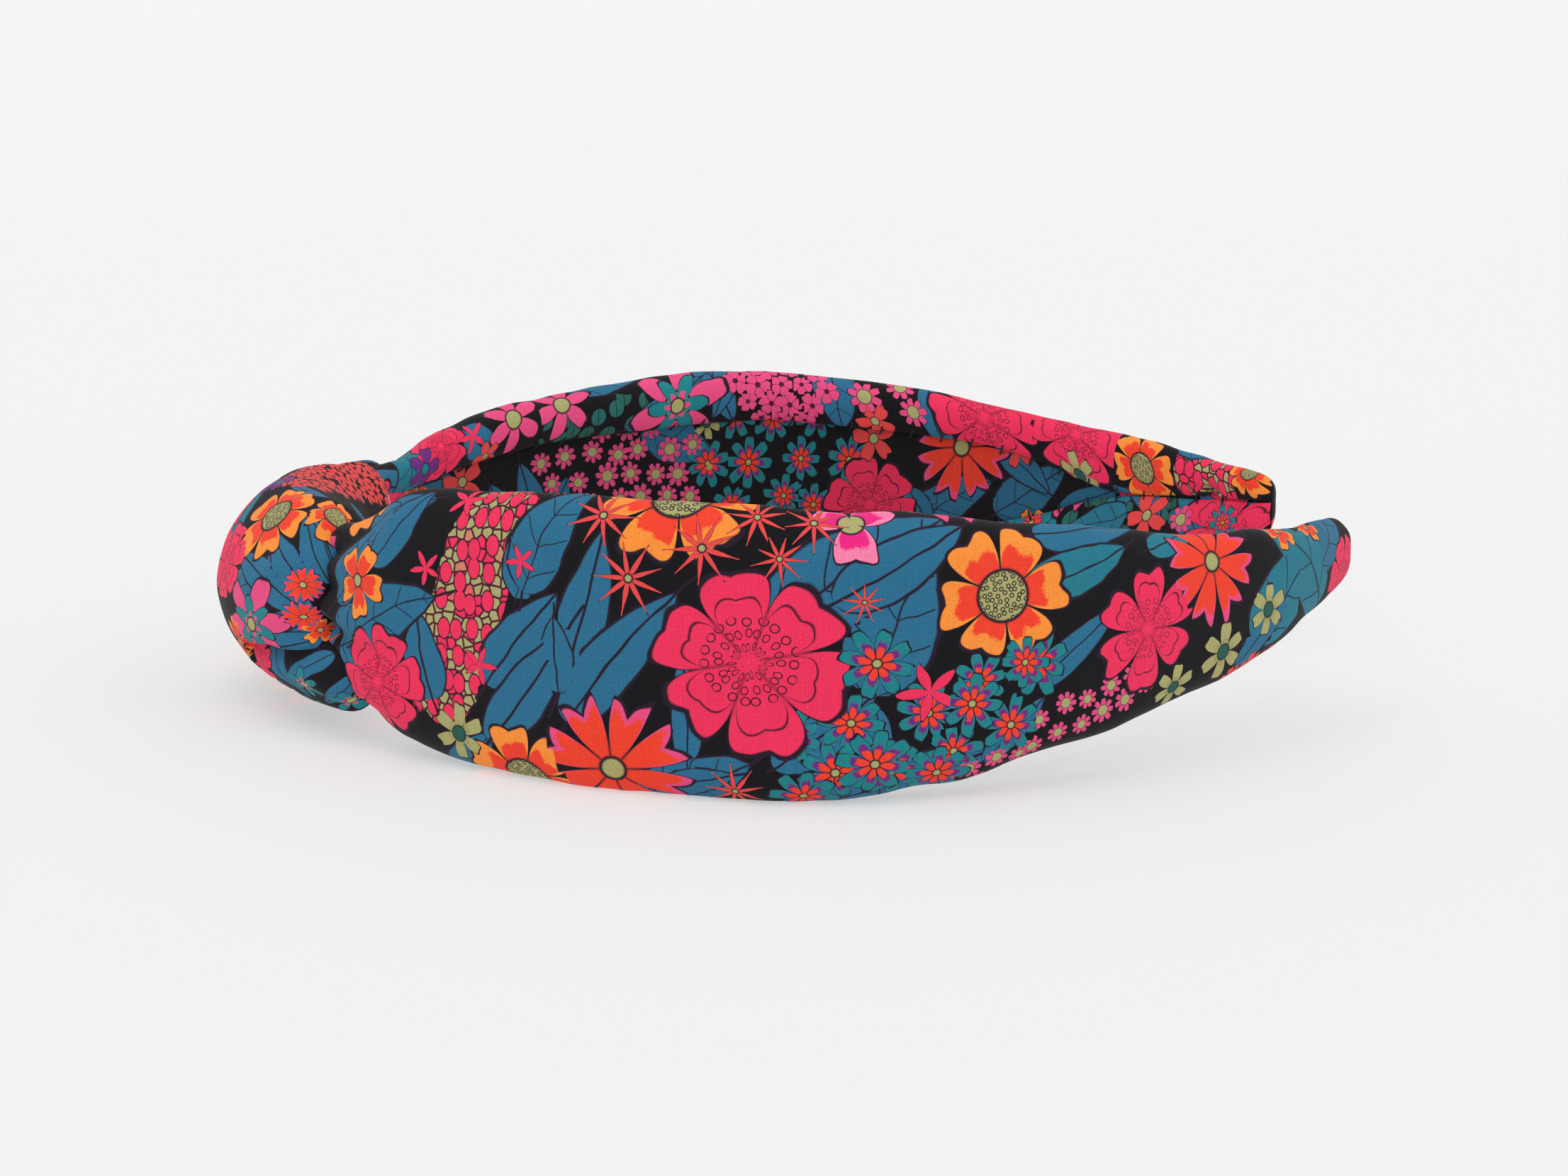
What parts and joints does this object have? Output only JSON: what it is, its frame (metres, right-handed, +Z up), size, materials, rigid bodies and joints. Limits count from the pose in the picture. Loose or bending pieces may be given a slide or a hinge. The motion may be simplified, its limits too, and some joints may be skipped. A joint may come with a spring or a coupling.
{
  "type": "knotted headband",
  "caption": "Padded fabric headband with a turban-style knot at the crown, tapering arms and a springy core that opens at the tips.",
  "frame": {"origin": "on the table under the middle of the object's box, with the band lying on its edge", "axes": "+X from the knot towards the two tips, +Y from the left arm to the right arm, +Z up from the table"},
  "size_m": [0.1688, 0.1464, 0.0387],
  "materials": {
    "printed_cotton": "plain-woven cotton with a floral print on black",
    "lining_cotton": "plain-woven cotton with a small floral print on black",
    "core_plastic": "matt moulded strip",
    "wadding": "soft polyester wadding",
    "interfacing": "thin bonded stiffener",
    "thread": "spun polyester sewing thread"
  },
  "bodies": {
    "crown": {"core_crown": "core_plastic", "crown_sleeve": "printed_cotton", "knot_wrap": "printed_cotton", "knot_stitches": "thread", "knot_tuck_left": "printed_cotton", "knot_tuck_right": "printed_cotton"},
    "arm_left": {"core_left": "core_plastic", "pad_left": "wadding", "edge_fill_left": "wadding", "interfacing_left": "interfacing", "cover_left": "printed_cotton", "lining_left": "lining_cotton", "tip_fold_left": "printed_cotton", "tip_stitches_left": "thread", "seam_stitches_left": "thread"},
    "arm_right": {"core_right": "core_plastic", "pad_right": "wadding", "edge_fill_right": "wadding", "interfacing_right": "interfacing", "cover_right": "printed_cotton", "lining_right": "lining_cotton", "tip_fold_right": "printed_cotton", "tip_stitches_right": "thread", "seam_stitches_right": "thread"}
  },
  "joints": [
    {"name": "arm_left_flex", "type": "hinge", "parent": "crown", "child": "arm_left", "pos_m": [-0.0593, -0.03177, 0.0178], "axis": [0, 0, -1], "range_deg": [-4, 14], "stiffness_Nm_per_rad": 1.5},
    {"name": "arm_right_flex", "type": "hinge", "parent": "crown", "child": "arm_right", "pos_m": [-0.0593, 0.03177, 0.0178], "axis": [0, 0, 1], "range_deg": [-4, 14], "stiffness_Nm_per_rad": 1.5}
  ]
}
